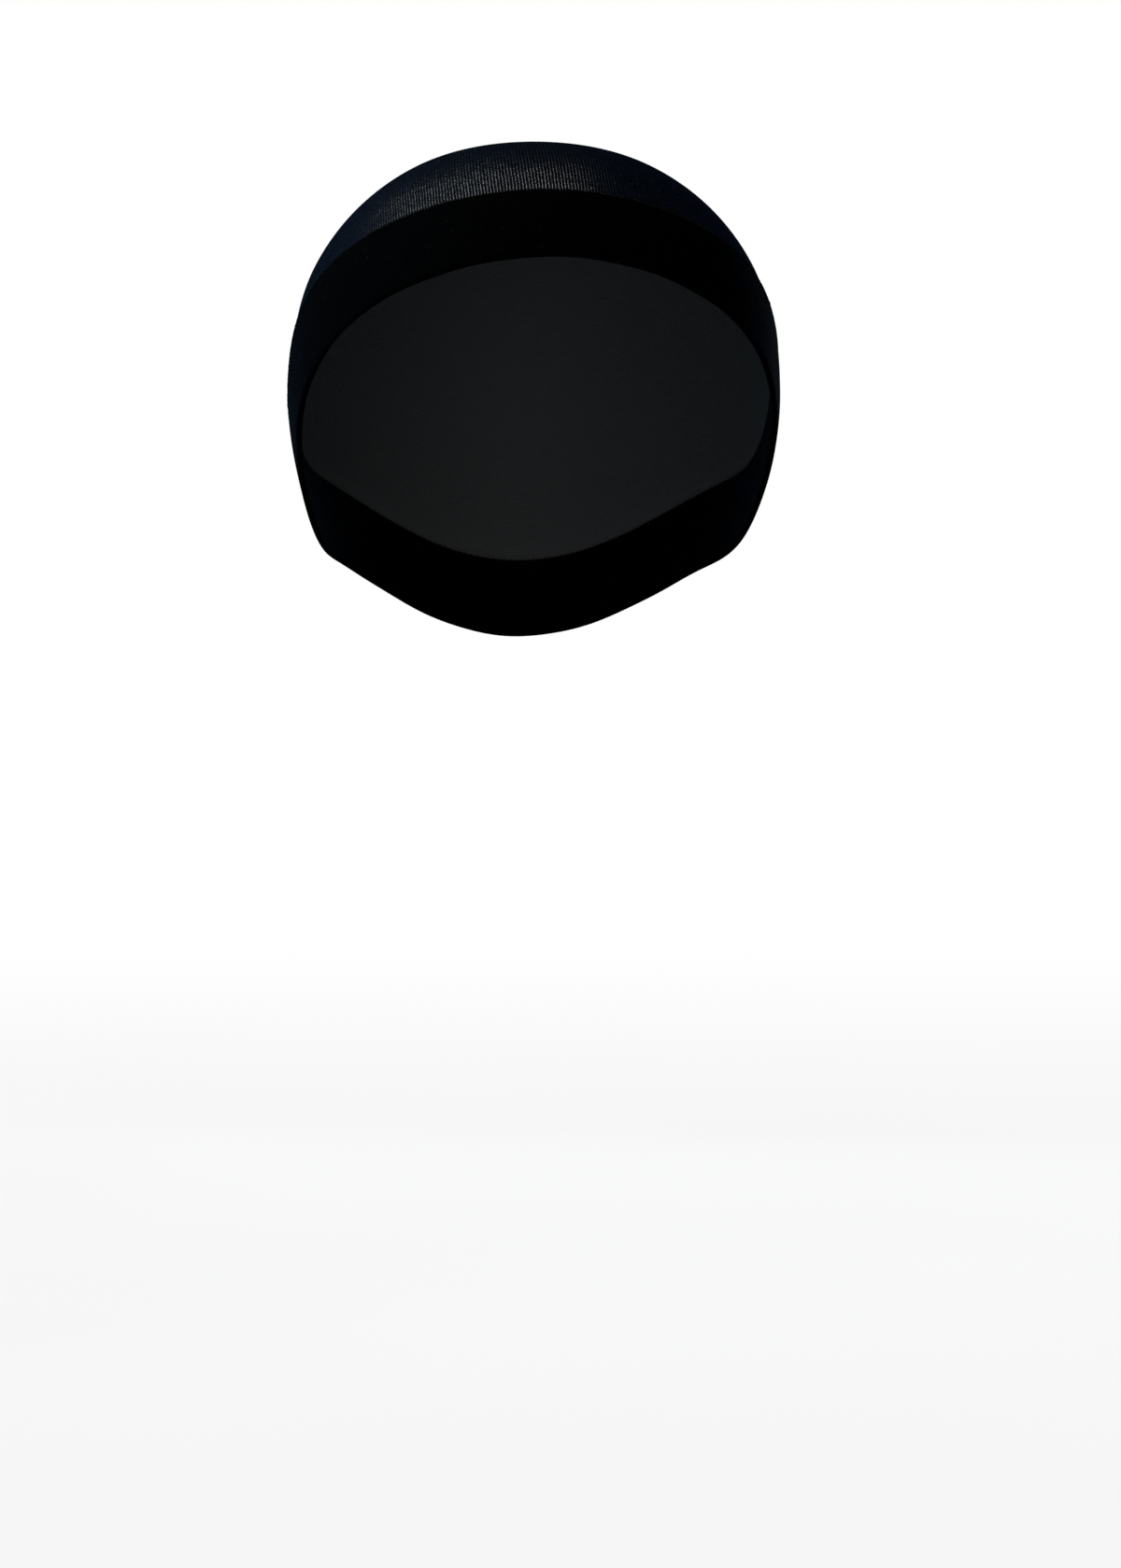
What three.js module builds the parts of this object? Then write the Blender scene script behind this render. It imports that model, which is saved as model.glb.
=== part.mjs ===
// Stocking wig cap: a fine black knitted skullcap, in the form that it takes on an adult's head.
//
// Frame, in millimetres: +Z is up, the face opening looks along -Y and the wearer's left is +X.
// The origin is the inner top of the crown, where the top of the head seats.
//
// Every point of the cloth is found on a head form. The form is seen from the middle of the head:
// "turn" is the heading round the vertical, 0 at the forehead, 90 over the left ear and 180 at the
// nape, and "tilt" is the angle down from straight up. Angles are in degrees.

import * as THREE from 'three';

// ---- Driving sizes ----

const CROWN_WALL = 1.0; // one ply of stocking knit
const WELT_WALL = 2.0; // the same knit turned back on itself
const WELT_WIDTH = 26.0; // from the hem to the crown, square to the hem
const JOIN_GAP = 0.3; // kept between neighbouring pieces

const SEAM_TILT = 42; // how far behind the top of the head the closed end lies
const SEAM_LENGTH = 92; // along the crown, ear to ear
const SEAM_WIDTH = 3.2;
const SEAM_HEIGHT = 1.3;

const TURN_STEPS = 72;
const CROWN_STEPS = 18;
const SEAM_STEPS = 30;

// ---- The head form ----

const HEAD_CENTRE = new THREE.Vector3(0, 0, -74);

// Reach from the centre to the skin. The head is a little narrower than it is long: 146 mm across
// the ears and 188 mm from brow to back.
const HEAD_ROWS = [
  { tilt: 0, side: 74.0, front: 74.0, back: 74.0 },
  { tilt: 30, side: 75.7, front: 78.0, back: 79.5 },
  { tilt: 60, side: 75.2, front: 87.8, back: 90.0 },
  { tilt: 90, side: 72.4, front: 94.0, back: 93.6 },
  { tilt: 120, side: 76.2, front: 99.0, back: 95.0 },
  { tilt: 150, side: 93.0, front: 111.0, back: 105.0 },
];

// The hem is an almost level cut through the cap, which dips where it passes behind the ear.
const HEM_FRONT_TILT = 70.2;
const HEM_NAPE_TILT = 135.0;
const EAR_TURN = 98;
const EAR_DIP = 14; // in tilt, below the level cut
const EAR_SPREAD = 28; // in turn, from the middle of the dip to where a third of it is left

// ---- Sections ----

// The doubled welt: "up" is the height above the hem and "out" the distance off the head.
const WELT_SECTION = [
  { up: 0.0, out: 0.5 },
  { up: 0.0, out: 1.5 },
  { up: 0.7, out: WELT_WALL + 0.2 },
  { up: 2.4, out: WELT_WALL },
  { up: WELT_WIDTH / 2, out: WELT_WALL },
  { up: WELT_WIDTH - 2.0, out: WELT_WALL },
  { up: WELT_WIDTH, out: CROWN_WALL + 0.2 },
  { up: WELT_WIDTH, out: 0.0 },
  { up: WELT_WIDTH / 2, out: 0.0 },
  { up: 0.8, out: 0.0 },
];

// The closing seam: "across" is a share of its half width and "out" a share of its height.
const SEAM_SECTION = [
  { across: 1.0, out: 0.0 },
  { across: 0.8, out: 0.6 },
  { across: 0.0, out: 1.0 },
  { across: -0.8, out: 0.6 },
  { across: -1.0, out: 0.0 },
  { across: 0.0, out: 0.0 },
];

// ---- Working out points on the cloth ----

const radians = THREE.MathUtils.degToRad;
const degrees = THREE.MathUtils.radToDeg;

// A smooth curve through the rows, level at the top of the head.
const reachCurve = new THREE.CubicInterpolant(
  HEAD_ROWS.map((row) => row.tilt),
  HEAD_ROWS.flatMap((row) => [row.side, row.front, row.back]),
  3,
);
reachCurve.settings = {
  endingStart: THREE.ZeroSlopeEnding,
  endingEnd: THREE.ZeroCurvatureEnding,
};

function hemTilt(turn) {
  const fromFront = Math.abs(((turn + 540) % 360) - 180);
  const cut = (1 - Math.cos(radians(fromFront))) / 2;
  const dip = Math.exp(-(((fromFront - EAR_TURN) / EAR_SPREAD) ** 2));
  return HEM_FRONT_TILT + (HEM_NAPE_TILT - HEM_FRONT_TILT) * cut + EAR_DIP * dip;
}

// Level sections of the head are half ellipses, one to the front and one to the back.
function reach(turn, tilt) {
  const [side, front, back] = reachCurve.evaluate(tilt);
  const sideways = Math.sin(radians(turn));
  const ahead = Math.cos(radians(turn));
  const along = ahead > 0 ? front : back;
  return 1 / Math.hypot(sideways / side, ahead / along);
}

function direction(turn, tilt) {
  const level = Math.sin(radians(tilt));
  return new THREE.Vector3(
    level * Math.sin(radians(turn)),
    -level * Math.cos(radians(turn)),
    Math.cos(radians(tilt)),
  );
}

function onSkin(turn, tilt) {
  return direction(turn, tilt).multiplyScalar(reach(turn, tilt)).add(HEAD_CENTRE);
}

// The way straight out of the skin.
function outward(turn, tilt) {
  const step = 0.5;
  if (tilt < step) return new THREE.Vector3(0, 0, 1);
  const downhill = onSkin(turn, tilt + step).sub(onSkin(turn, tilt - step));
  const round = onSkin(turn + step, tilt).sub(onSkin(turn - step, tilt));
  return downhill.cross(round).normalize();
}

function onCloth(turn, tilt, out) {
  return onSkin(turn, tilt).addScaledVector(outward(turn, tilt), out);
}

// The tilt of the line that lies a number of millimetres above the hem, measured square to it.
function tiltAboveHem(turn, millimetres) {
  const hem = hemTilt(turn);
  const step = 1;
  const slope = (hemTilt(turn + step) - hemTilt(turn - step)) / (2 * step);
  const steepness = Math.hypot(1, slope / Math.sin(radians(hem)));
  return hem - degrees((millimetres * steepness) / reach(turn, hem));
}

// ---- Meshes ----

// Joins rings of points into one closed skin. It closes on the two end points, or where there are
// none its last ring meets its first, as in a hoop.
function skinOver(rings, ends = []) {
  const count = rings[0].length;
  const faces = [];
  const spans = ends.length ? rings.length - 1 : rings.length;
  for (let span = 0; span < spans; span += 1) {
    const here = span * count;
    const there = ((span + 1) % rings.length) * count;
    for (let step = 0; step < count; step += 1) {
      const next = (step + 1) % count;
      faces.push(here + step, here + next, there + next);
      faces.push(here + step, there + next, there + step);
    }
  }
  if (ends.length) {
    const lastRing = (rings.length - 1) * count;
    const start = rings.length * count;
    for (let step = 0; step < count; step += 1) {
      const next = (step + 1) % count;
      faces.push(start, next, step);
      faces.push(start + 1, lastRing + step, lastRing + next);
    }
  }
  const geometry = new THREE.BufferGeometry().setFromPoints([...rings.flat(), ...ends]);
  geometry.setIndex(faces);
  geometry.computeVertexNormals();
  return geometry;
}

function middleOf(ring) {
  const sum = ring.reduce((total, point) => total.add(point), new THREE.Vector3());
  return sum.divideScalar(ring.length);
}

function turns() {
  return Array.from({ length: TURN_STEPS }, (_, step) => (360 * step) / TURN_STEPS);
}

function namedMesh(name, geometry, finish) {
  const mesh = new THREE.Mesh(geometry, new THREE.MeshStandardMaterial(finish));
  mesh.name = name;
  return mesh;
}

// ---- Pieces ----

// The crown is one thin ply. Its rings run from the inner top down to the welt, and back up outside.
function crown() {
  const shares = Array.from({ length: CROWN_STEPS }, (_, step) => (step + 1) / CROWN_STEPS);
  const ringAt = (share, out) =>
    turns().map((turn) => onCloth(turn, share * tiltAboveHem(turn, WELT_WIDTH + JOIN_GAP), out));
  const inner = shares.map((share) => ringAt(share, 0));
  const outer = shares.map((share) => ringAt(share, CROWN_WALL)).reverse();
  const tops = [onCloth(0, 0, 0), onCloth(0, 0, CROWN_WALL)];
  return namedMesh('crown', skinOver([...inner, ...outer], tops), {
    color: 0x15171b,
    roughness: 0.55,
    metalness: 0,
  });
}

// The welt is the doubled band round the face opening and the nape.
function weltBand() {
  const rings = WELT_SECTION.map(({ up, out }) =>
    turns().map((turn) => onCloth(turn, tiltAboveHem(turn, up), out)));
  return namedMesh('welt_band', skinOver(rings), {
    color: 0x050506,
    roughness: 0.85,
    metalness: 0,
  });
}

// The closing seam lies across the back of the crown and thins out at both ends.
function closingSeam() {
  const sweep = SEAM_LENGTH / reach(180, SEAM_TILT);
  const back = direction(180, SEAM_TILT);
  const rings = [];
  for (let step = 0; step <= SEAM_STEPS; step += 1) {
    const share = (2 * step) / SEAM_STEPS - 1; // from -1 at the right ear to 1 at the left
    const lean = (share * sweep) / 2;
    const way = back.clone().multiplyScalar(Math.cos(lean)).setX(Math.sin(lean));
    const along = back.clone().multiplyScalar(-Math.sin(lean)).setX(Math.cos(lean));
    const turn = degrees(Math.atan2(way.x, -way.y));
    const tilt = degrees(Math.acos(way.z));
    const foot = onCloth(turn, tilt, CROWN_WALL + JOIN_GAP);
    const normal = outward(turn, tilt);
    const across = normal.clone().cross(along).normalize();
    const fullness = Math.sqrt(1 - 0.9 * share ** 6);
    rings.push(SEAM_SECTION.map((point) => foot.clone()
      .addScaledVector(across, (point.across * fullness * SEAM_WIDTH) / 2)
      .addScaledVector(normal, point.out * fullness * SEAM_HEIGHT)));
  }
  const ends = [middleOf(rings[0]), middleOf(rings[SEAM_STEPS])];
  return namedMesh('closing_seam', skinOver(rings, ends), {
    color: 0x08080a,
    roughness: 0.8,
    metalness: 0,
  });
}

const cap = new THREE.Group();
cap.name = 'stocking_wig_cap';
cap.add(crown(), weltBand(), closingSeam());

export default cap;
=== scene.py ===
"""Dresses a stocking wig cap: the fine knitted crown, the doubled welt band and their seams.

Every piece is first modelled flat, in cloth space, and then laid on the head form that the cap is
stretched over. In cloth space X runs round the tube, Y along the wales and Z out of the cloth.

A place on the head form is a turn and a tilt in degrees, seen from the middle of the head. The
turn is the heading, 0 at the forehead and 90 over the left ear. The tilt is the angle down from
straight up.
"""

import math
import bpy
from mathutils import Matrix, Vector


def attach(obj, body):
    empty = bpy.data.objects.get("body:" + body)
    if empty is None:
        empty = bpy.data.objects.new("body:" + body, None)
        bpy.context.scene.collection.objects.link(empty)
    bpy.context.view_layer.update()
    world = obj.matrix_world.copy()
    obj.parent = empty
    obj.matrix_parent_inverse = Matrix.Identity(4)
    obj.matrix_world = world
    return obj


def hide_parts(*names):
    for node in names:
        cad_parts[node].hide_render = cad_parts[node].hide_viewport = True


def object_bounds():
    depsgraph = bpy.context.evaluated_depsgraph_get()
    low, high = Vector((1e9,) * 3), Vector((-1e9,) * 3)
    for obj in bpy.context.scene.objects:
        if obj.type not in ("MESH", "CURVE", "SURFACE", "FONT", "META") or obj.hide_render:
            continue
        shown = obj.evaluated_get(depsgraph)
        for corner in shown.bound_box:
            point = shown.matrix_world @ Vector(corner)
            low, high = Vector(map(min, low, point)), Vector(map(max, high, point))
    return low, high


bl_info = {
    "name": "Stocking Wig Cap",
    "version": (1, 0, 0),
    "blender": (4, 5, 0),
    "location": "View3D > Sidebar > Wig Cap",
    "description": "Builds the knitted crown, the doubled welt and the seams of a stocking wig cap",
    "category": "Object",
}

import bpy
import numpy as np
from bpy.props import FloatProperty, FloatVectorProperty, PointerProperty
from mathutils import Vector

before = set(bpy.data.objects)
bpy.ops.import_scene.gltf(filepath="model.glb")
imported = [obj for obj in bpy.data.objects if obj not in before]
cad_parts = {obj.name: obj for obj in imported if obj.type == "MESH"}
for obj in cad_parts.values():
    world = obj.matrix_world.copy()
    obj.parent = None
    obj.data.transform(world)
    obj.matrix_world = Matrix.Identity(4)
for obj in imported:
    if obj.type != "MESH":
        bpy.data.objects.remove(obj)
CAD_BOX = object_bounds()
BODY = "root"
MM = 0.001

# ---- The head form, in millimetres and degrees, as the CAD model has it ----

HEAD_CENTRE = np.array((0.0, 0.0, -74.0))
ROW_TILT = 30.0
HEAD_ROWS = np.array((  # reach to the side, the front and the back, a row for each 30 degrees of tilt
    (74.0, 74.0, 74.0),
    (75.7, 78.0, 79.5),
    (75.2, 87.8, 90.0),
    (72.4, 94.0, 93.6),
    (76.2, 99.0, 95.0),
    (93.0, 111.0, 105.0),
))
HEM_FRONT_TILT = 70.2
HEM_NAPE_TILT = 135.0
EAR_TURN = 98.0  # where the hem dips behind the ear
EAR_DIP = 14.0
EAR_SPREAD = 28.0
WELT_WIDTH = 26.0
CROWN_WALL = 1.0
SEAM_TILT = 42.0
SEAM_LENGTH = 92.0

# ---- The knit and the crown, in millimetres ----

KNIT_MAP = "knit"  # the UV map that counts wales across and courses up
WALES = 560  # columns of loops round the tube
COURSES = 150  # rows of loops from the welt to the closing seam
CROWN_ROWS = 60
CROWN_LENGTH = 125.0  # along a wale, on average
CROWN_FOOT = 0.1  # above the welt
FOOT_RISE = 0.7  # how much further out the crown stands where it leaves the welt
FOOT_FADE = 5.0
PUCKERS = 70  # gathers along the closing seam, over its front and its back
PUCKER_DEPTH = 0.3
PUCKER_FADE = 5.0

# ---- The welt, in millimetres ----

WELT_ROWS = 30
FOLD_STARTS = 0.3  # shares of the strip's rows where its fold round the hem starts and ends
FOLD_ENDS = 0.6
INNER_TOP = 27.6  # height of the inner layer above the hem
FOLD_UP = 1.0  # height of the line where each layer leaves the fold
FOLD_GAP = 0.1  # half the gap between the two layers
SKIN_GAP = 0.05  # between the inner layer and the head
RIB_DEPTH = 0.06
WELT_COURSE = 0.88  # along the strip, from one course to the next
FIRST_COURSE = -30.0  # at the top of the inner layer
HEM_WAVES = ((7, 0.14, 1.0), (19, 0.09, 0.4))  # waves round the hem, their height and their start
HEM_WAVE_FADE = 8.0

# ---- The stitches, in millimetres ----

LOOP_WIDTH = 0.62  # share of the room that a wale has at the join
LOOP_HEIGHT = 0.4
LOOP_LEGS = 0.5
LOOP_TALL = (0.75, 1.25)  # the least and the greatest share of that height
LOOP_STRAY_UP = 0.06
LOOP_STRAY_OUT = 0.03
LOOP_UPS = (25.3, 26.0, 27.2)  # heights above the hem
LOOP_OUTS = (1.93, 1.97, 1.72)  # how far out the loops stand at those heights
LOOP_SEED = 11

TACK_WIDTH = 1.7
TACK_HEIGHT = 0.3
TACK_LEGS = 0.12
TACK_UP = 0.95  # share of a tack stitch that climbs
TACK_ASIDE = 0.35  # share of it that runs round the head
TACK_STRAY = 0.08
TACK_UPS = (INNER_TOP, INNER_TOP + 0.9)  # from the welt's inner layer to the crown
TACK_OUTS = (SKIN_GAP, 0.9)  # how far out the cloth lies at those heights
TACK_SEED = 5

SEAM_FOOT = CROWN_WALL + 0.05
RIDGE_GRID = (124, 14)  # faces along the ridge and round it
RIDGE_MAP = (60, 9)  # wales and courses that show on it
RIDGE_WIDTH = 2.8
RIDGE_HEIGHT = 1.2
RIDGE_BELOW = 0.8  # how far below its middle its round is cut flat, as a share of its radius
RIDGE_RIPPLE = 0.05
RIDGE_THINNING = 6  # the power by which the seam thins out at its ends

OVERLOCK_PITCH = 1.55
OVERLOCK_COUNT = int(SEAM_LENGTH / OVERLOCK_PITCH) - 2
OVERLOCK_MARGIN = 0.3  # how much wider than the ridge it is
OVERLOCK_ABOVE = 0.08
OVERLOCK_LEAN = 0.24
OVERLOCK_STRAY = 0.04
OVERLOCK_SEED = 3
NEEDLE_WIDTH = 1.1
NEEDLE_HEIGHT = 0.22
NEEDLE_BESIDE = 0.35  # from the edge of the ridge
SEAM_LEGS = 0.1

# ---- The stage ----

FLOOR_SIZE = 30
FLOOR_CLOUDS = 3.0  # scale of its clouds
FLOOR_PALER = 1.03  # in the clouds
FLOOR_FADE = (0.3, 4.0)  # metres from the cap over which the floor grows as pale as the room
FLOOR_BOUNCE = (0.5, 0.5, 0.5, 1.0)  # how much light it throws up at the cap
ROOM_LIGHT = 0.015
MIRRORED_ROOM = (0.001, 0.003, 0.008, 1.0)
WHITE = (1, 1, 1, 1)
BLACK = (0, 0, 0, 1)

LIGHT_DISTANCE = 1.1
LIGHTS = (  # name, the way to it, its width and height, watts and colour
    ("key", (-0.35, 0.22, 0.9), (0.8, 0.06), 1.15, (1.0, 0.99, 0.92)),
    ("side", (-0.95, 0.1, 0.3), (0.7, 0.7), 4.0, (0.5, 0.78, 1.0)),
    ("front", (0.0, -1.0, 0.05), (0.8, 0.8), 0.8, (1.0, 1.0, 1.0)),
    ("back", (0.25, 0.97, -0.05), (0.9, 0.4), 2.0, (0.88, 0.95, 1.0)),
)

CAMERA_YAW = math.radians(-4.0)
CAMERA_LEVEL = math.radians(90)
CAMERA_ASIDE = 8.2 * MM
CAMERA_BELOW_TOP = 193.2 * MM
CAMERA_LENS = 98.5


# ---- Places on the head form ----


def unit(ways):
    return ways / np.linalg.norm(ways, axis=-1, keepdims=True)


def reach(turn, tilt):
    """Distance from the middle of the head to the skin, on a smooth curve through the rows."""
    slopes = np.gradient(HEAD_ROWS, axis=0)
    slopes[0] = 0.0  # level at the top of the head
    steps = np.clip(tilt / ROW_TILT, 0.0, len(HEAD_ROWS) - 1.001)  # short of the last row
    row = steps.astype(int)
    t = (steps - row)[..., None]
    reaches = (
        (1 + 2 * t) * (1 - t) ** 2 * HEAD_ROWS[row]
        + t * (1 - t) ** 2 * slopes[row]
        + t**2 * (3 - 2 * t) * HEAD_ROWS[row + 1]
        + t**2 * (t - 1) * slopes[row + 1]
    )
    side, front, back = np.moveaxis(reaches, -1, 0)
    sideways = np.sin(np.radians(turn))
    ahead = np.cos(np.radians(turn))
    return 1 / np.hypot(sideways / side, ahead / np.where(ahead > 0, front, back))


def direction(turn, tilt):
    turn, tilt = np.radians(turn), np.radians(tilt)
    return np.stack(
        (np.sin(tilt) * np.sin(turn), -np.sin(tilt) * np.cos(turn), np.cos(tilt)), -1
    )


def turn_and_tilt(way):
    turn = np.degrees(np.arctan2(way[:, 0], -way[:, 1]))
    tilt = np.degrees(np.arccos(np.clip(way[:, 2], -1, 1)))
    return turn, tilt


def on_skin(turn, tilt):
    return HEAD_CENTRE + direction(turn, tilt) * reach(turn, tilt)[..., None]


def outward(turn, tilt):
    """The way straight out of the skin."""
    step = 0.5  # degrees
    tilt = np.maximum(tilt, 2 * step)
    downhill = on_skin(turn, tilt + step) - on_skin(turn, tilt - step)
    across = on_skin(turn + step, tilt) - on_skin(turn - step, tilt)
    return unit(np.cross(downhill, across))


def on_cloth(turn, tilt, out):
    return on_skin(turn, tilt) + outward(turn, tilt) * out[..., None]


def hem_tilt(turn):
    from_front = np.abs((turn + 540) % 360 - 180)
    cut = (1 - np.cos(np.radians(from_front))) / 2
    dip = np.exp(-(((from_front - EAR_TURN) / EAR_SPREAD) ** 2))
    return HEM_FRONT_TILT + (HEM_NAPE_TILT - HEM_FRONT_TILT) * cut + EAR_DIP * dip


def tilt_above_hem(turn, up):
    """The tilt of the line that lies so many millimetres above the hem, square to it."""
    hem = hem_tilt(turn)
    slope = (hem_tilt(turn + 1) - hem_tilt(turn - 1)) / 2
    steepness = np.hypot(1, slope / np.sin(np.radians(hem)))
    return hem - np.degrees(up * steepness / reach(turn, hem))


# ---- Laying cloth on the head ----


TURNS = np.linspace(0, 360, 4 * 360 + 1)  # every quarter of a degree


def measure_round(up):
    """The share of the way round a line above the hem at each turn, and the girth of that line."""
    line = on_cloth(TURNS, tilt_above_hem(TURNS, up), np.ones_like(TURNS))
    lengths = np.linalg.norm(np.diff(line, axis=0), axis=1)
    along = np.concatenate(((0.0,), np.cumsum(lengths)))
    return along / along[-1], along[-1]


HEM_SHARES, _ = measure_round(0.0)
JOIN_SHARES, JOIN_GIRTH = measure_round(WELT_WIDTH)


def wale_turn(share, up):
    """The turn of a wale, by its share of the way round the tube, at a height above the hem."""
    at_hem = np.interp(share % 1.0, HEM_SHARES, TURNS)
    at_join = np.interp(share % 1.0, JOIN_SHARES, TURNS)
    return at_hem + (at_join - at_hem) * up / WELT_WIDTH


def lay_on_band(points):
    """Cloth space on the welt: share of the way round, millimetres above the hem, and out."""
    share, up, out = points.T
    turn = wale_turn(share, up)
    return on_cloth(turn, tilt_above_hem(turn, up), out)


def seam_direction(along):
    """Along the closing seam, in millimetres from its middle towards the left ear."""
    lean = along / reach(180.0, SEAM_TILT)
    back = direction(180.0, SEAM_TILT)
    left = np.array((1.0, 0.0, 0.0))
    return back * np.cos(lean)[:, None] + left * np.sin(lean)[:, None]


def lay_on_crown(points):
    """Cloth space on the crown: share of the way round, share from the welt to the closing seam,
    and out. The front half of the wales meets the back half along the closing seam."""
    share, rise, out = points.T
    turn = wale_turn(share, WELT_WIDTH)
    foot = direction(turn, tilt_above_hem(turn, WELT_WIDTH + CROWN_FOOT))
    quarter = (share + 0.25) % 1.0 * 4 - 1  # -1 to 1 over the front half, 1 to 3 over the back
    along = np.where(quarter <= 1, quarter, 2 - quarter) * SEAM_LENGTH / 2
    end = seam_direction(along)
    angle = np.arccos(np.clip(np.sum(foot * end, axis=1), -1, 1))[:, None]
    rise = rise[:, None]
    way = (np.sin((1 - rise) * angle) * foot + np.sin(rise * angle) * end) / np.sin(angle)
    return on_cloth(*turn_and_tilt(way), out)


def lay_on_seam(points):
    """Cloth space along the closing seam: along it from its middle, across it and out, in mm."""
    along, across, out = points.T
    step = 0.5  # millimetres
    way = seam_direction(along)
    ahead = seam_direction(along + step) - way
    turn, tilt = turn_and_tilt(way)
    sideways = unit(np.cross(outward(turn, tilt), ahead))
    return on_cloth(turn, tilt, out) + sideways * across[:, None]


# ---- The cloth's own shapes, in millimetres ----


def crown_out(rise):
    """How far the outer face of the crown lies off the head: it steps down from the welt."""
    above = rise * CROWN_LENGTH
    return CROWN_WALL + FOOT_RISE * np.exp(-((above / FOOT_FADE) ** 2))


def seam_puckers(share, rise):
    """Gathers where the wales are drawn together. They fade away from the seam and at it."""
    below = (1 - rise) * CROWN_LENGTH
    gathers = PUCKER_DEPTH * np.cos(share * 2 * np.pi * PUCKERS)
    return gathers * np.exp(-below / PUCKER_FADE) * (1 - np.exp(-below))


def welt_path(v, ply):
    """The strip's outer face in section, from the top of the inner layer down round the hem and up
    the outer layer: the run along it, height above the hem, distance out, and how far it faces
    sideways, from -1 at the head to 1 outwards."""
    radius = ply + FOLD_GAP
    inner_run = INNER_TOP - FOLD_UP
    fold_run = np.pi * radius
    outer_run = WELT_WIDTH - FOLD_UP
    run = np.interp(
        v, (0, FOLD_STARTS, FOLD_ENDS, 1),
        (0, inner_run, inner_run + fold_run, inner_run + fold_run + outer_run),
    )
    angle = np.clip((run - inner_run) / radius, 0, np.pi)
    down = np.minimum(run, inner_run)
    back_up = np.maximum(run - inner_run - fold_run, 0)
    up = INNER_TOP - down - radius * np.sin(angle) + back_up
    out = SKIN_GAP + radius - radius * np.cos(angle)
    return run, up, out, -np.cos(angle)


def hem_wave(share, up):
    """The hem isn't a perfect line: it wanders by a fraction of a millimetre."""
    angle = share * 2 * np.pi
    wave = sum(height * np.sin(count * angle + start) for count, height, start in HEM_WAVES)
    return wave * np.exp(-np.maximum(up, 0) / HEM_WAVE_FADE)


def seam_fullness(share):
    """The seam thins out at both ends."""
    return np.sqrt(np.maximum(1 - np.abs(share) ** RIDGE_THINNING, 0.0))


# ---- Modelling helpers ----

SAME_POINT = 0.02 * MM
CUT_EDGE = math.radians(80)
YARN_SIDES = 5


def start_fresh():
    if bpy.context.object and bpy.context.object.mode != "OBJECT":
        bpy.ops.object.mode_set(mode="OBJECT")
    bpy.ops.object.select_all(action="DESELECT")


def pick(obj):
    """Selects one object alone and makes it the active one."""
    start_fresh()
    obj.select_set(True)
    bpy.context.view_layer.objects.active = obj


def edit(obj):
    """Opens an object in edit mode with all of it selected."""
    pick(obj)
    bpy.ops.object.mode_set(mode="EDIT")
    bpy.ops.mesh.select_all(action="SELECT")


def coordinates(obj):
    co = np.empty(len(obj.data.vertices) * 3)
    obj.data.vertices.foreach_get("co", co)
    return co.reshape(-1, 3)


def move_points(obj, points):
    obj.data.vertices.foreach_set("co", np.asarray(points, np.float32).ravel())
    obj.data.update()


def add_panel(name, columns, rows):
    """A flat panel, from 0 to 1 both ways, with a UV map that runs the same way."""
    start_fresh()
    bpy.ops.mesh.primitive_grid_add(
        x_subdivisions=columns, y_subdivisions=rows, size=1, location=(0.5, 0.5, 0)
    )
    bpy.ops.object.transform_apply(location=True, rotation=True, scale=True)
    panel = bpy.context.object
    panel.name = panel.data.name = name
    panel.data.uv_layers[0].name = KNIT_MAP
    return panel


def set_knit_map(panel, wales, courses):
    """Writes the wale and the course at each corner. They are functions of the panel's own map."""
    layer = panel.data.uv_layers[KNIT_MAP]
    uv = np.empty(len(layer.data) * 2)
    layer.data.foreach_get("uv", uv)
    uv = uv.reshape(-1, 2)
    counted = np.stack((wales(uv[:, 0]), courses(uv[:, 1])), 1)
    layer.data.foreach_set("uv", counted.astype(np.float32).ravel())


def apply_all(obj):
    pick(obj)
    for modifier in list(obj.modifiers):
        bpy.ops.object.modifier_apply(modifier=modifier.name)


def mend_mesh(obj, gap=0.0):
    """Joins points that are no farther apart than the gap, and turns all faces the same way."""
    edit(obj)
    bpy.ops.mesh.remove_doubles(threshold=gap)
    bpy.ops.mesh.normals_make_consistent(inside=False)
    bpy.ops.object.mode_set(mode="OBJECT")


def face_outwards(obj):
    """Turns an open sheet over if the face farthest from the middle of the head looks back at it."""
    centre = Vector(HEAD_CENTRE * MM)
    farthest = max(obj.data.polygons, key=lambda face: (face.center - centre).length_squared)
    if farthest.normal.dot(farthest.center - centre) < 0:
        edit(obj)
        bpy.ops.mesh.flip_normals()
        bpy.ops.object.mode_set(mode="OBJECT")


def give_thickness(obj, thickness, inside_slot):
    """Makes a sheet a closed wall that grows inwards. The inside may have its own material slot."""
    modifier = obj.modifiers.new("ply", "SOLIDIFY")
    modifier.thickness = thickness
    modifier.offset = -1
    modifier.use_even_offset = False
    modifier.use_rim = True
    modifier.material_offset = inside_slot
    modifier.material_offset_rim = 0
    apply_all(obj)


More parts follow.
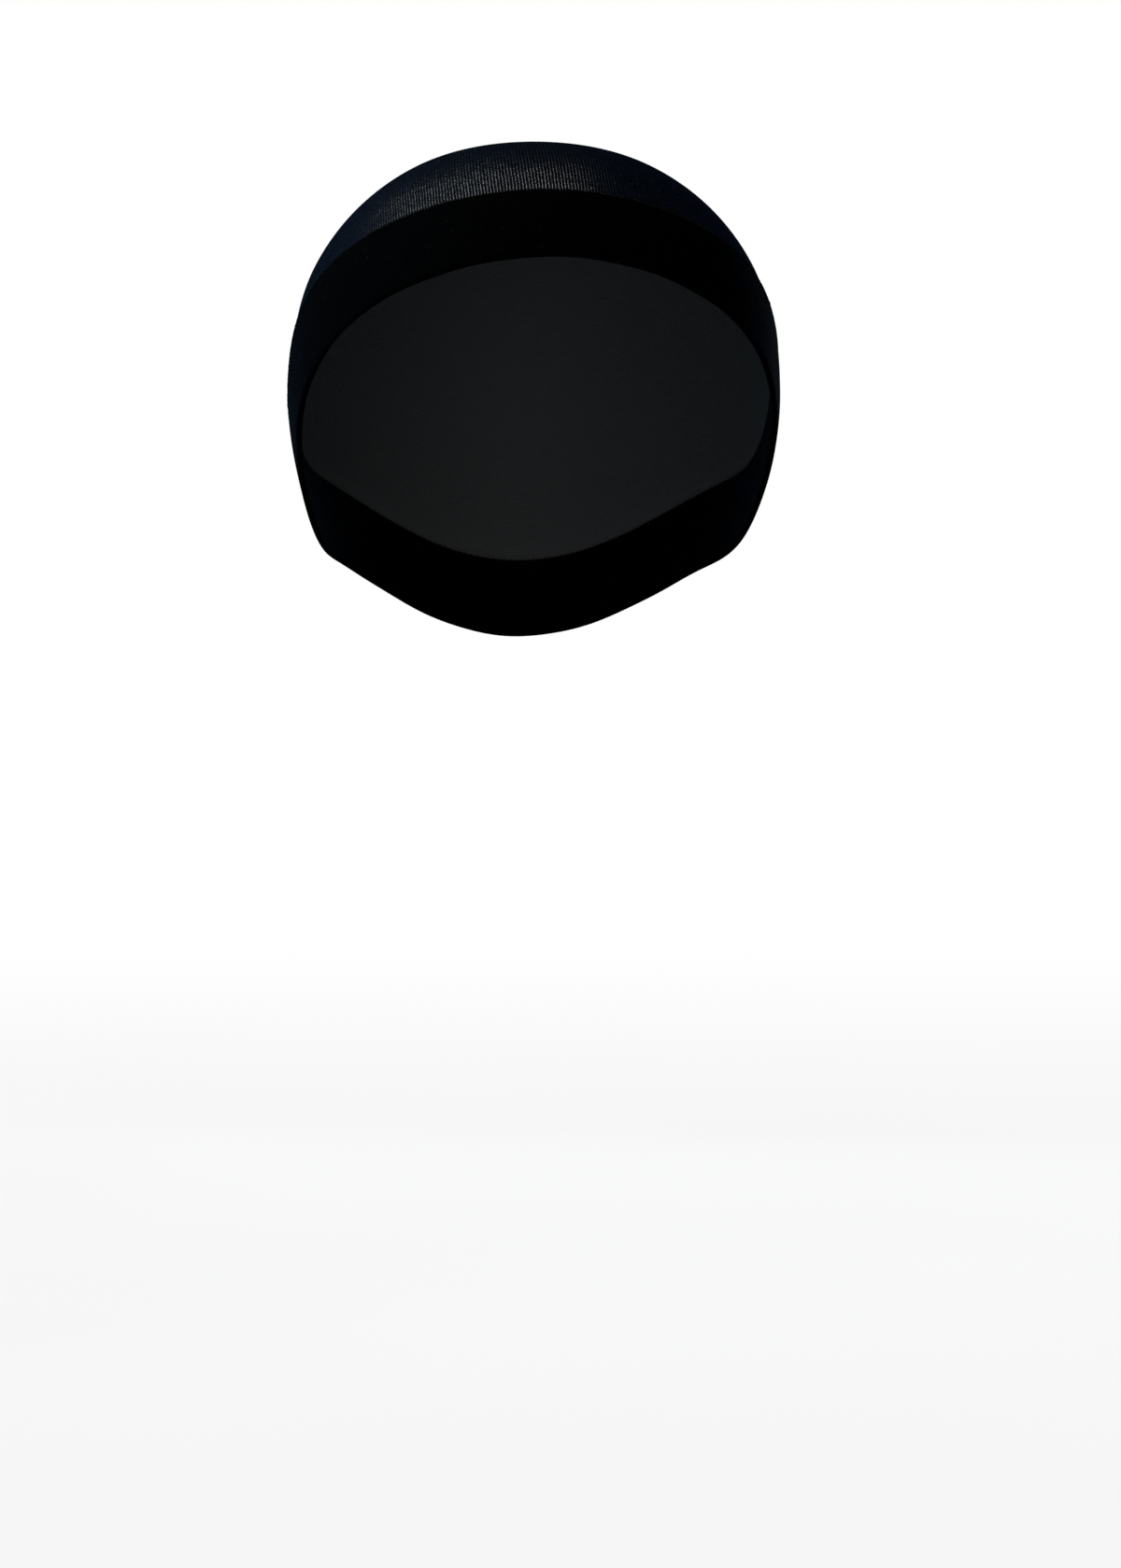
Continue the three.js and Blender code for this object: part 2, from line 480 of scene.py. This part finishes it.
def add_arch(name, width, height, legs, thread, segments):
    """One loop of yarn: an arch that stands along Y with two short legs, modelled in millimetres.
    Segments is how many pieces the arch has, and thread is how thick it is."""
    start_fresh()
    bpy.ops.mesh.primitive_torus_add(
        major_segments=2 * segments, minor_segments=YARN_SIDES,
        major_radius=width / 2, minor_radius=thread / 2,
    )
    arch = bpy.context.object
    arch.name = arch.data.name = name
    edit(arch)
    bpy.ops.mesh.bisect(plane_co=(0, 0, 0), plane_no=(0, 1, 0), clear_inner=True)
    bpy.ops.mesh.select_all(action="SELECT")
    bpy.ops.transform.resize(value=(1, height / (width / 2), 1), center_override=(0, 0, 0))
    bpy.ops.mesh.select_all(action="DESELECT")
    bpy.ops.mesh.select_mode(type="EDGE")
    bpy.ops.mesh.select_non_manifold()
    bpy.ops.mesh.extrude_region_move(TRANSFORM_OT_translate={"value": (0, -legs, 0)})
    bpy.ops.mesh.select_all(action="SELECT")
    bpy.ops.mesh.fill_holes(sides=0)
    bpy.ops.mesh.normals_make_consistent(inside=False)
    bpy.ops.mesh.select_mode(type="VERT")
    bpy.ops.object.mode_set(mode="OBJECT")
    return arch


def repeat_along(obj, count, pitch):
    """Copies a stitch along X with an Array and gives its points back, a row for each copy."""
    array = obj.modifiers.new("repeat", "ARRAY")
    array.use_relative_offset = False
    array.use_constant_offset = True
    array.constant_offset_displace = (pitch, 0, 0)
    array.count = count
    apply_all(obj)
    return coordinates(obj).reshape(count, -1, 3)


def finish_piece(obj, slot, *replaced):
    """Shades a piece smooth, but for cut edges, hangs it on the body and hides the parts that it
    replaces. The slot is not used.
    """
    pick(obj)
    bpy.ops.object.shade_smooth_by_angle(angle=CUT_EDGE)
    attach(obj, BODY)
    if replaced:
        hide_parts(*replaced)


# ---- Materials ----

MIX_FACTOR, MIX_FIRST, MIX_SECOND = 0, 6, 7  # the sockets of a Mix node that mixes colours
MIX_RESULT = 2

WANDER = 0.5  # how far a wale wanders from side to side, in wales
WANDER_SCALE = 0.22
WANDER_ACROSS = 0.35  # share of that scale across the wales, so that they wander together
LEG_SLANT = 0.45  # how far a course drops from the middle of a wale to its side
KNIT_BOW = 0.15  # share of a loop's height that comes and goes along it
PURL_BARS = 0.35  # height of the bars that cross the wales on the purl side
PURL_RIB = 0.3  # height of the wales there
YARN_EDGE = (0.08, 0.5)  # heights at which the yarn starts and is full

DYE_PATCHES = 60.0  # scale of the patches that took the dye alike
DYE_PATCH_SHARE = 0.4  # how much they add to the tone of each loop
DYE_RANGE = (0.35, 1.15)  # from the darkest yarn to the palest
GLINT_WALES = (0.0, 0.8)  # some wales get less of the painted glint than others
DULLNESS = 0.12  # how much rougher a loop is that has no painted glint
SHEEN_ROUGHNESS = 0.15
SHEEN_TINT = (0.3, 0.55, 1.0, 1.0)

THREAD_SHADES = 900.0  # scale of its shades
THREAD_RANGE = (0.35, 0.7)
THREAD_DARK = 0.35  # the darker shade, as a share of the tint
FIBRES = 4000.0  # scale of the fibres that stand out of it
FIBRE_DEPTH = 0.05 * MM


def opaque(tint):
    return (*tint, 1.0)


class Wiring:
    """Short ways to add nodes to one tree and link them. Each value may be plain or a socket."""

    def __init__(self, tree):
        self.tree = tree

    def node(self, kind, **settings):
        made = self.tree.nodes.new(kind)
        for name, value in settings.items():
            setattr(made, name, value)
        return made

    def feed(self, target, value):
        """Links a socket to the target, or sets a plain value there."""
        if isinstance(value, bpy.types.NodeSocket):
            self.tree.links.new(value, target)
        else:
            target.default_value = value

    def math(self, operation, *values):
        made = self.node("ShaderNodeMath", operation=operation)
        for target, value in zip(made.inputs, values):
            self.feed(target, value)
        return made.outputs["Value"]

    def plus(self, first, second):
        return self.math("ADD", first, second)

    def minus(self, first, second):
        return self.math("SUBTRACT", first, second)

    def times(self, first, second):
        return self.math("MULTIPLY", first, second)

    def smooth(self, value, low, high):
        made = self.node("ShaderNodeMapRange", interpolation_type="SMOOTHSTEP")
        self.feed(made.inputs["Value"], value)
        self.feed(made.inputs["From Min"], low)
        self.feed(made.inputs["From Max"], high)
        return made.outputs["Result"]

    def pair(self, x, y):
        made = self.node("ShaderNodeCombineXYZ")
        self.feed(made.inputs["X"], x)
        self.feed(made.inputs["Y"], y)
        return made.outputs["Vector"]

    def noise(self, vector, scale, detail=2.0):
        made = self.node("ShaderNodeTexNoise")
        self.feed(made.inputs["Vector"], vector)
        self.feed(made.inputs["Scale"], scale)
        self.feed(made.inputs["Detail"], detail)
        return made.outputs["Fac"]

    def mix(self, factor, first, second):
        made = self.node("ShaderNodeMix", data_type="RGBA")
        self.feed(made.inputs[MIX_FACTOR], factor)
        self.feed(made.inputs[MIX_FIRST], first)
        self.feed(made.inputs[MIX_SECOND], second)
        return made.outputs[MIX_RESULT]

    def bump(self, height, depth):
        made = self.node("ShaderNodeBump")
        self.feed(made.inputs["Strength"], 1.0)
        self.feed(made.inputs["Distance"], depth)
        self.feed(made.inputs["Height"], height)
        return made.outputs["Normal"]


def new_material(name):
    """A material with the wiring of its nodes and the sockets of its shader."""
    material = bpy.data.materials.new(name)
    material.use_nodes = True
    tree = material.node_tree
    return material, Wiring(tree), tree.nodes["Principled BSDF"].inputs


def stretch_knit_group():
    """Plain jersey, worked out from a map that counts wales and courses."""
    group = bpy.data.node_groups.get("stretch_knit")
    if group:
        return group
    group = bpy.data.node_groups.new("stretch_knit", "ShaderNodeTree")
    group.interface.new_socket("Knit", in_out="INPUT", socket_type="NodeSocketVector")
    for name in ("Purl", "Unevenness"):
        group.interface.new_socket(name, in_out="INPUT", socket_type="NodeSocketFloat")
    for name in ("Height", "Yarn", "Tone", "Wale Tone"):
        group.interface.new_socket(name, in_out="OUTPUT", socket_type="NodeSocketFloat")
    add = Wiring(group)
    given = add.node("NodeGroupInput").outputs
    result = add.node("NodeGroupOutput").inputs
    split = add.node("ShaderNodeSeparateXYZ")
    add.feed(split.inputs["Vector"], given["Knit"])
    across, along = split.outputs["X"], split.outputs["Y"]

    # the wale, which wanders a little from side to side, and how far a point is from its middle
    wander = add.noise(add.pair(add.times(across, WANDER_ACROSS), along), WANDER_SCALE)
    u = add.plus(across, add.times(add.minus(wander, 0.5), WANDER))
    wale = add.math("FLOOR", u)
    off_middle = add.math("ABSOLUTE", add.times(add.minus(add.math("FRACT", u), 0.5), 2.0))

    # the course, which slants down both legs of a loop, and how far along it a point is
    v = add.plus(along, add.times(off_middle, LEG_SLANT))
    course = add.math("FLOOR", v)
    step = add.math("FRACT", v)

    # a tone for every loop and one for every wale
    loop_draw = add.node("ShaderNodeTexWhiteNoise", noise_dimensions="2D")
    add.feed(loop_draw.inputs["Vector"], add.pair(wale, course))
    tone = loop_draw.outputs["Value"]
    wale_draw = add.node("ShaderNodeTexWhiteNoise", noise_dimensions="1D")
    add.feed(wale_draw.inputs["W"], wale)

    # the face shows the legs of the loops, and the purl side the bars across them
    rib = add.minus(1.0, add.math("POWER", off_middle, 2.0))
    bow = add.times(add.math("SINE", add.times(step, math.pi)), KNIT_BOW)
    face = add.times(rib, add.plus(1.0 - KNIT_BOW, bow))
    bars = add.times(add.math("SINE", add.times(along, math.pi * 2)), PURL_BARS)
    back = add.plus(add.plus(bars, add.times(rib, PURL_RIB)), PURL_BARS)
    jersey = add.plus(
        add.times(face, add.minus(1.0, given["Purl"])), add.times(back, given["Purl"])
    )

    # no two loops lie quite alike
    lean = add.times(add.minus(tone, 0.5), add.minus(step, 0.5))
    add.feed(result["Height"], add.plus(jersey, add.times(lean, given["Unevenness"])))
    add.feed(result["Yarn"], add.smooth(jersey, *YARN_EDGE))
    add.feed(result["Tone"], tone)
    add.feed(result["Wale Tone"], wale_draw.outputs["Value"])
    return group


def knit_material(name, shades, *, relief, roughness, sheen, specular, painted_glint_share, purl=0.0,
                  unevenness=1.0):
    """A knitted finish. Its shades are the yarn, the yarn where it is darkest, and a painted glint, a
    paler colour that stands in for light caught by some loops. The painted glint share is the share
    of those loops, which are also less rough, and purl is 0 outside and 1 inside."""
    material, add, shader = new_material(name)
    yarn, deep, painted_glint = shades
    knit = add.node("ShaderNodeGroup", node_tree=stretch_knit_group())
    add.feed(knit.inputs["Knit"], add.node("ShaderNodeUVMap", uv_map=KNIT_MAP).outputs["UV"])
    add.feed(knit.inputs["Purl"], purl)
    add.feed(knit.inputs["Unevenness"], unevenness)

    place = add.node("ShaderNodeTexCoord").outputs["Object"]
    patches = add.noise(place, DYE_PATCHES, detail=3.0)
    dye = add.plus(add.times(patches, DYE_PATCH_SHARE), knit.outputs["Tone"])
    dyed = add.mix(add.smooth(dye, *DYE_RANGE), deep, yarn)
    # painted glints: a share of the loops, chosen by their tone and their wale's tone, get a paler
    # colour that stands in for the light they catch, and less roughness
    painted_glint_and_gloss = add.times(
        add.smooth(knit.outputs["Tone"], 1.0 - painted_glint_share, 1.0),
        add.smooth(knit.outputs["Wale Tone"], *GLINT_WALES),
    )
    painted_glint_and_gloss = add.times(painted_glint_and_gloss, knit.outputs["Yarn"])

    # painted highlight: those loops take the paler glint colour in place of the dyed yarn
    add.feed(shader["Base Color"], add.mix(painted_glint_and_gloss, dyed, painted_glint))
    dull = add.times(add.minus(1.0, painted_glint_and_gloss), DULLNESS)
    add.feed(shader["Roughness"], add.plus(dull, roughness))
    add.feed(shader["Normal"], add.bump(knit.outputs["Height"], relief))
    shader["Sheen Weight"].default_value = sheen
    shader["Sheen Roughness"].default_value = SHEEN_ROUGHNESS
    shader["Sheen Tint"].default_value = SHEEN_TINT
    shader["Specular IOR Level"].default_value = specular
    return material


def thread_material(name, tint, *, roughness, specular=0.3):
    """Spun nylon thread, a little uneven along its length."""
    material, add, shader = new_material(name)
    place = add.node("ShaderNodeTexCoord").outputs["Object"]
    shade = add.smooth(add.noise(place, THREAD_SHADES), *THREAD_RANGE)
    dark = opaque(part * THREAD_DARK for part in tint)
    add.feed(shader["Base Color"], add.mix(shade, dark, opaque(tint)))
    add.feed(shader["Normal"], add.bump(add.noise(place, FIBRES, detail=1.0), FIBRE_DEPTH))
    shader["Roughness"].default_value = roughness
    shader["Specular IOR Level"].default_value = specular
    return material


# ---- Settings ----

SWATCH = {"subtype": "COLOR", "size": 3, "min": 0, "max": 1}


class WigCapColours(bpy.types.PropertyGroup):
    yarn: FloatVectorProperty(
        name="Yarn", description="Nylon yarn of the crown",
        default=(0.0038, 0.018, 0.045), **SWATCH,
    )
    deep: FloatVectorProperty(
        name="Deep yarn", description="Yarn where the dye took darkest",
        default=(0.001, 0.005, 0.012), **SWATCH,
    )
    # painted highlight: the paler colour of the loops that get a painted glint, standing in for light
    # they catch
    painted_glint: FloatVectorProperty(
        name="Painted glint", description="Loops that catch the light",
        default=(0.027, 0.025, 0.025), **SWATCH,
    )
    # painted light: this grey is far paler than the yarn because it stands in for light shining
    # through the sheer ply from outside
    inside: FloatVectorProperty(
        name="Inside", description="Purl side of the crown, with the light that comes through",
        default=(0.15, 0.15, 0.152), **SWATCH,
    )
    welt: FloatVectorProperty(
        name="Welt", description="The doubled band",
        default=(0.001, 0.001, 0.0013), **SWATCH,
    )
    # painted glints on the band: a paler colour that a few loops of the black welt get, standing in
    # for light they catch
    welt_painted_glint: FloatVectorProperty(
        name="Welt painted glint", description="Specks of lint on the band",
        default=(0.012, 0.011, 0.011), **SWATCH,
    )
    thread: FloatVectorProperty(
        name="Thread", description="Sewing thread of the seams",
        default=(0.02, 0.02, 0.024), **SWATCH,
    )
    floor: FloatVectorProperty(
        name="Floor", description="Studio floor",
        default=(0.9, 0.9, 0.9), **SWATCH,
    )


class WigCapSizes(bpy.types.PropertyGroup):
    ply: FloatProperty(
        name="Crown ply", description="Thickness of the single crown knit", unit="LENGTH",
        default=0.55 * MM,
    )
    welt_ply: FloatProperty(
        name="Welt ply", description="Thickness of one layer of the doubled band",
        unit="LENGTH", default=0.8 * MM,
    )
    thread: FloatProperty(
        name="Thread", description="Thickness of the yarn and the sewing thread", unit="LENGTH",
        default=0.24 * MM,
    )
    knit_relief: FloatProperty(
        name="Knit relief", description="Depth of the knitted loops", unit="LENGTH",
        default=0.13 * MM,
    )
    camera_distance: FloatProperty(
        name="Camera distance", description="Level, from the top of the crown", unit="LENGTH",
        default=1.3,
    )
    floor_drop: FloatProperty(
        name="Floor drop", description="From the top of the crown down to the floor",
        unit="LENGTH", default=0.385,
    )


# ---- Pieces ----


class WIGCAP_OT_crown(bpy.types.Operator):
    """Lays the single ply of the crown on the head form and closes it along the seam"""

    bl_idname = "wigcap.crown"
    bl_label = "Crown"

    def execute(self, context):
        sizes = context.scene.wigcap_sizes
        colours = context.scene.wigcap_colours
        crown = add_panel("crown_knit", WALES // 2, CROWN_ROWS)
        set_knit_map(crown, lambda u: u * WALES, lambda v: v * COURSES)
        points = coordinates(crown)
        points[:, 2] = crown_out(points[:, 1]) + seam_puckers(points[:, 0], points[:, 1])
        move_points(crown, lay_on_crown(points) * MM)
        mend_mesh(crown, SAME_POINT)
        face_outwards(crown)
        # the third shade is the crown's painted glint
        outside = (opaque(colours.yarn), opaque(colours.deep), opaque(colours.painted_glint))
        crown.data.materials.append(knit_material(
            "crown_face", outside, relief=sizes.knit_relief, roughness=0.16, sheen=0.03,
            specular=0.45, painted_glint_share=0.6, unevenness=0.7,
        ))
        # the purl side takes the pale painted through-light colour for all three shades
        inside = (opaque(colours.inside),) * 3
        crown.data.materials.append(knit_material(
            "crown_purl", inside, relief=sizes.knit_relief, roughness=0.45, sheen=0.04,
            specular=0.4, painted_glint_share=0.06, purl=1.0, unevenness=0.6,
        ))
        give_thickness(crown, sizes.ply, inside_slot=1)
        finish_piece(crown, "crown_knit", "crown")
        return {"FINISHED"}


class WIGCAP_OT_welt(bpy.types.Operator):
    """Folds the doubled band over at the hem and lays it round the head"""

    bl_idname = "wigcap.welt"
    bl_label = "Welt band"

    def execute(self, context):
        sizes = context.scene.wigcap_sizes
        colours = context.scene.wigcap_colours
        welt = add_panel("welt_band_knit", WALES * 2, WELT_ROWS)
        ply = sizes.welt_ply / MM
        points = coordinates(welt)
        share = points[:, 0]
        _, up, out, sideways = welt_path(points[:, 1], ply)
        rib = RIB_DEPTH * np.cos(2 * np.pi * WALES * share)
        points[:, 1] = up + hem_wave(share, up) - rib * (1 - np.abs(sideways))
        points[:, 2] = out + rib * sideways
        set_knit_map(
            welt, lambda u: u * WALES,
            lambda v: welt_path(v, ply)[0] / WELT_COURSE + FIRST_COURSE,
        )
        move_points(welt, lay_on_band(points) * MM)
        mend_mesh(welt, SAME_POINT)
        face_outwards(welt)
        # the third shade is the band's painted glint
        shades = (opaque(colours.welt), opaque(colours.welt), opaque(colours.welt_painted_glint))
        welt.data.materials.append(knit_material(
            "welt_face", shades, relief=sizes.knit_relief, roughness=0.7, sheen=0.06,
            specular=0.02, painted_glint_share=0.02,
        ))
        give_thickness(welt, sizes.welt_ply, inside_slot=0)
        finish_piece(welt, "welt_knit", "welt_band")
        return {"FINISHED"}


class WIGCAP_OT_transfer_loops(bpy.types.Operator):
    """Sets the row of open loops where the welt is joined to the crown"""

    bl_idname = "wigcap.transfer_loops"
    bl_label = "Transfer loops"

    def execute(self, context):
        sizes = context.scene.wigcap_sizes
        colours = context.scene.wigcap_colours
        pitch = JOIN_GIRTH / WALES
        loops = add_arch(
            "transfer_loops", LOOP_WIDTH * pitch, LOOP_HEIGHT, LOOP_LEGS, sizes.thread / MM,
            segments=5,
        )
        copies = repeat_along(loops, WALES, pitch)
        draw = np.random.default_rng(LOOP_SEED)
        copies[..., 1] *= draw.uniform(*LOOP_TALL, (WALES, 1))
        copies[..., 1] += draw.normal(0, LOOP_STRAY_UP, (WALES, 1))
        copies[..., 2] += draw.normal(0, LOOP_STRAY_OUT, (WALES, 1))
        along, above, outer = copies.reshape(-1, 3).T
        up = WELT_WIDTH + above
        out = np.interp(up, LOOP_UPS, LOOP_OUTS) + outer
        points = np.stack((along / JOIN_GIRTH, up, out), 1)
        move_points(loops, lay_on_band(points) * MM)
        loops.data.materials.append(
            thread_material("loop_yarn", colours.deep, roughness=0.5, specular=0.15)
        )
        finish_piece(loops, "crown_knit")
        return {"FINISHED"}


class WIGCAP_OT_tack_stitches(bpy.types.Operator):
    """Tacks the inner layer of the welt to the crown with slanting stitches"""

    bl_idname = "wigcap.tack_stitches"
    bl_label = "Tack stitches"

    def execute(self, context):
        sizes = context.scene.wigcap_sizes
        colours = context.scene.wigcap_colours
        count = WALES // 2
        pitch = JOIN_GIRTH / count
        stitches = add_arch(
            "tack_stitches", TACK_WIDTH, TACK_HEIGHT, TACK_LEGS, sizes.thread / MM, segments=5
        )
        copies = repeat_along(stitches, count, pitch)
        draw = np.random.default_rng(TACK_SEED)
        centre = np.arange(count)[:, None] * pitch
        run = copies[..., 0] - centre  # along the stitch, which lies across the edge
        up = INNER_TOP + run * TACK_UP + draw.normal(0, TACK_STRAY, (count, 1))
        aside = centre + run * TACK_ASIDE + copies[..., 2]
        out = np.interp(up, TACK_UPS, TACK_OUTS) - copies[..., 1]
        points = np.stack((aside / JOIN_GIRTH, up, out), -1).reshape(-1, 3)
        move_points(stitches, lay_on_band(points) * MM)
        mend_mesh(stitches)
        stitches.data.materials.append(
            thread_material("tack_thread", colours.thread, roughness=0.5)
        )
        finish_piece(stitches, "seam_thread")
        return {"FINISHED"}


class WIGCAP_OT_closing_seam(bpy.types.Operator):
    """Rolls the seam allowance into a ridge and binds it with overlock thread"""

    bl_idname = "wigcap.closing_seam"
    bl_label = "Closing seam"

    def execute(self, context):
        sizes = context.scene.wigcap_sizes
        colours = context.scene.wigcap_colours
        add_seam_ridge(sizes, colours)
        add_overlock(sizes, colours)
        add_needle_line(sizes, colours)
        return {"FINISHED"}


def add_seam_ridge(sizes, colours):
    ridge = add_panel("closing_seam_ridge", *RIDGE_GRID)
    wales, courses = RIDGE_MAP
    set_knit_map(ridge, lambda u: u * wales, lambda v: v * courses)
    points = coordinates(ridge)
    share = points[:, 0] * 2 - 1
    angle = points[:, 1] * 2 * np.pi
    along = share * SEAM_LENGTH / 2
    ripple = 1 + RIDGE_RIPPLE * np.sin(along * 2 * np.pi / OVERLOCK_PITCH)
    full = seam_fullness(share) * ripple
    across = np.cos(angle) * full * RIDGE_WIDTH / 2
    height = (np.sin(angle) + RIDGE_BELOW).clip(0) / (1 + RIDGE_BELOW)
    out = SEAM_FOOT + height * full * RIDGE_HEIGHT
    move_points(ridge, lay_on_seam(np.stack((along, across, out), 1)) * MM)
    mend_mesh(ridge, SAME_POINT)
    # the thread colour serves as the painted glint on a fifth of the ridge's loops
    shades = (opaque(colours.yarn), opaque(colours.deep), opaque(colours.thread))
    ridge.data.materials.append(knit_material(
        "seam_allowance", shades, relief=sizes.knit_relief, roughness=0.7, sheen=0.1,
        specular=0.3, painted_glint_share=0.2,
    ))
    finish_piece(ridge, "seam_thread", "closing_seam")


def add_overlock(sizes, colours):
    """Arches of thread over the ridge. Each is modelled one high and is raised to clear it."""
    threads = add_arch(
        "overlock_threads", RIDGE_WIDTH + OVERLOCK_MARGIN, 1.0, SEAM_LEGS, sizes.thread / MM,
        segments=9,
    )
    copies = repeat_along(threads, OVERLOCK_COUNT, OVERLOCK_PITCH)
    draw = np.random.default_rng(OVERLOCK_SEED)
    steps = np.arange(OVERLOCK_COUNT)[:, None]
    centre = (steps - (OVERLOCK_COUNT - 1) / 2) * OVERLOCK_PITCH
    across = copies[..., 0] - steps * OVERLOCK_PITCH
    lean = draw.normal(OVERLOCK_LEAN, OVERLOCK_STRAY, (OVERLOCK_COUNT, 1))
    along = centre + across * lean + copies[..., 2]
    full = seam_fullness(2 * centre / SEAM_LENGTH)
    out = SEAM_FOOT + copies[..., 1] * full * (RIDGE_HEIGHT + OVERLOCK_ABOVE)
    points = np.stack((along, across * full, out), -1).reshape(-1, 3)
    move_points(threads, lay_on_seam(points) * MM)
    mend_mesh(threads)
    threads.data.materials.append(
        thread_material("overlock_thread", colours.thread, roughness=0.45)
    )
    finish_piece(threads, "seam_thread")


def add_needle_line(sizes, colours):
    """The line of stitches that runs beside the ridge."""
    line = add_arch(
        "needle_stitches", NEEDLE_WIDTH, NEEDLE_HEIGHT, SEAM_LEGS, sizes.thread / MM, segments=5
    )
    copies = repeat_along(line, OVERLOCK_COUNT, OVERLOCK_PITCH)
    along = copies[..., 0] - (OVERLOCK_COUNT - 1) / 2 * OVERLOCK_PITCH
    full = seam_fullness(2 * along / SEAM_LENGTH)
    across = -(RIDGE_WIDTH / 2 + NEEDLE_BESIDE) * full + copies[..., 2]
    out = SEAM_FOOT + copies[..., 1]
    points = np.stack((along, across, out), -1).reshape(-1, 3)
    move_points(line, lay_on_seam(points) * MM)
    mend_mesh(line)
    line.data.materials.append(
        thread_material("needle_thread", colours.thread, roughness=0.45)
    )
    finish_piece(line, "seam_thread")


# ---- Stage ----


class WIGCAP_OT_stage(bpy.types.Operator):
    """Adds the floor, the room, the studio lights and the camera"""

    bl_idname = "wigcap.stage"
    bl_label = "Stage"

    def execute(self, context):
        scene = context.scene
        scene.view_settings.view_transform = "Standard"
        add_floor(scene.wigcap_sizes.floor_drop, scene.wigcap_colours.floor)
        add_room(scene)
        for light in LIGHTS:
            add_softbox(*light)
        add_camera(scene, scene.wigcap_sizes.camera_distance)
        return {"FINISHED"}


def add_floor(drop, tint):
    """The camera sees it evenly lit, and as pale as the room farther off. To the lights it is grey,
    and it throws some of their light up at the cap."""
    start_fresh()
    bpy.ops.mesh.primitive_plane_add(size=FLOOR_SIZE, location=(0, 0, CAD_BOX[1].z - drop))
    bpy.ops.object.transform_apply(location=True, rotation=True, scale=True)
    floor = bpy.context.object
    floor.name = "floor"
    material, add, shader = new_material("floor")
    place = add.node("ShaderNodeTexCoord").outputs["Object"]
    paler = opaque(min(1.0, part * FLOOR_PALER) for part in tint)
    clouded = add.mix(add.noise(place, FLOOR_CLOUDS), opaque(tint), paler)
    away = add.node("ShaderNodeVectorMath", operation="LENGTH")
    add.feed(away.inputs[0], place)
    tone = add.mix(add.smooth(away.outputs["Value"], *FLOOR_FADE), clouded, WHITE)
    shown = add.node("ShaderNodeLightPath").outputs["Is Camera Ray"]
    add.feed(shader["Base Color"], add.mix(shown, FLOOR_BOUNCE, BLACK))
    add.feed(shader["Emission Color"], add.mix(shown, BLACK, tone))
    shader["Emission Strength"].default_value = 1.0
    shader["Roughness"].default_value = 0.9
    shader["Specular IOR Level"].default_value = 0.1
    floor.data.materials.append(material)


def add_room(scene):
    """White to look at, but dim as a light, and nearly black where the knit would mirror it."""
    world = bpy.data.worlds.new("studio")
    scene.world = world
    world.use_nodes = True
    add = Wiring(world.node_tree)
    rays = add.node("ShaderNodeLightPath").outputs

    def glow(tint, strength):
        made = add.node("ShaderNodeBackground")
        add.feed(made.inputs["Color"], tint)
        add.feed(made.inputs["Strength"], strength)
        return made.outputs["Background"]

    def choose(kind, otherwise, chosen):
        made = add.node("ShaderNodeMixShader")
        for target, source in zip(made.inputs, (rays[kind], otherwise, chosen)):
            add.feed(target, source)
        return made.outputs["Shader"]

    unseen = choose("Is Glossy Ray", glow(WHITE, ROOM_LIGHT), glow(MIRRORED_ROOM, 1.0))
    surface = world.node_tree.nodes["World Output"].inputs["Surface"]
    add.feed(surface, choose("Is Camera Ray", unseen, glow(WHITE, 1.0)))
    world.node_tree.nodes.remove(world.node_tree.nodes["Background"])


def add_softbox(name, way, size, power, tint):
    start_fresh()
    aim = (CAD_BOX[0] + CAD_BOX[1]) / 2
    place = aim + Vector(way).normalized() * LIGHT_DISTANCE
    bpy.ops.object.light_add(type="AREA", location=place)
    box = bpy.context.object
    box.name = box.data.name = name
    box.data.shape = "RECTANGLE"
    box.data.size, box.data.size_y = size
    box.data.energy = power
    box.data.color = tint
    box.visible_camera = False
    box.rotation_euler = (aim - place).to_track_quat("-Z", "Y").to_euler()


def add_camera(scene, distance):
    start_fresh()
    ahead = Vector((-math.sin(CAMERA_YAW), math.cos(CAMERA_YAW), 0))
    right = Vector((math.cos(CAMERA_YAW), math.sin(CAMERA_YAW), 0))
    place = right * CAMERA_ASIDE - ahead * distance
    place.z = CAD_BOX[1].z - CAMERA_BELOW_TOP
    bpy.ops.object.camera_add(location=place, rotation=(CAMERA_LEVEL, 0, CAMERA_YAW))
    camera = bpy.context.object
    camera.name = "camera"
    camera.data.lens = CAMERA_LENS
    scene.camera = camera


# ---- Panel, registration and running ----

STEPS = (
    WIGCAP_OT_stage, WIGCAP_OT_crown, WIGCAP_OT_welt, WIGCAP_OT_transfer_loops,
    WIGCAP_OT_tack_stitches, WIGCAP_OT_closing_seam,
)


class WIGCAP_PT_panel(bpy.types.Panel):
    """Lists the cap's settings and the steps that build it"""

    bl_idname = "WIGCAP_PT_panel"
    bl_label = "Stocking Wig Cap"
    bl_space_type = "VIEW_3D"
    bl_region_type = "UI"
    bl_category = "Wig Cap"

    def draw(self, context):
        for group in (context.scene.wigcap_sizes, context.scene.wigcap_colours):
            for name in group.__annotations__:
                self.layout.prop(group, name)
        for step in STEPS:
            self.layout.operator(step.bl_idname)


CLASSES = (WigCapColours, WigCapSizes, *STEPS, WIGCAP_PT_panel)


def register():
    for each in CLASSES:
        bpy.utils.register_class(each)
    bpy.types.Scene.wigcap_colours = PointerProperty(type=WigCapColours)
    bpy.types.Scene.wigcap_sizes = PointerProperty(type=WigCapSizes)


def unregister():
    del bpy.types.Scene.wigcap_sizes
    del bpy.types.Scene.wigcap_colours
    for each in reversed(CLASSES):
        bpy.utils.unregister_class(each)


def main():
    register()
    bpy.ops.wigcap.stage()
    bpy.ops.wigcap.crown()
    bpy.ops.wigcap.welt()
    bpy.ops.wigcap.transfer_loops()
    bpy.ops.wigcap.tack_stitches()
    bpy.ops.wigcap.closing_seam()
    bpy.context.view_layer.update()


if __name__ == "__main__":
    main()
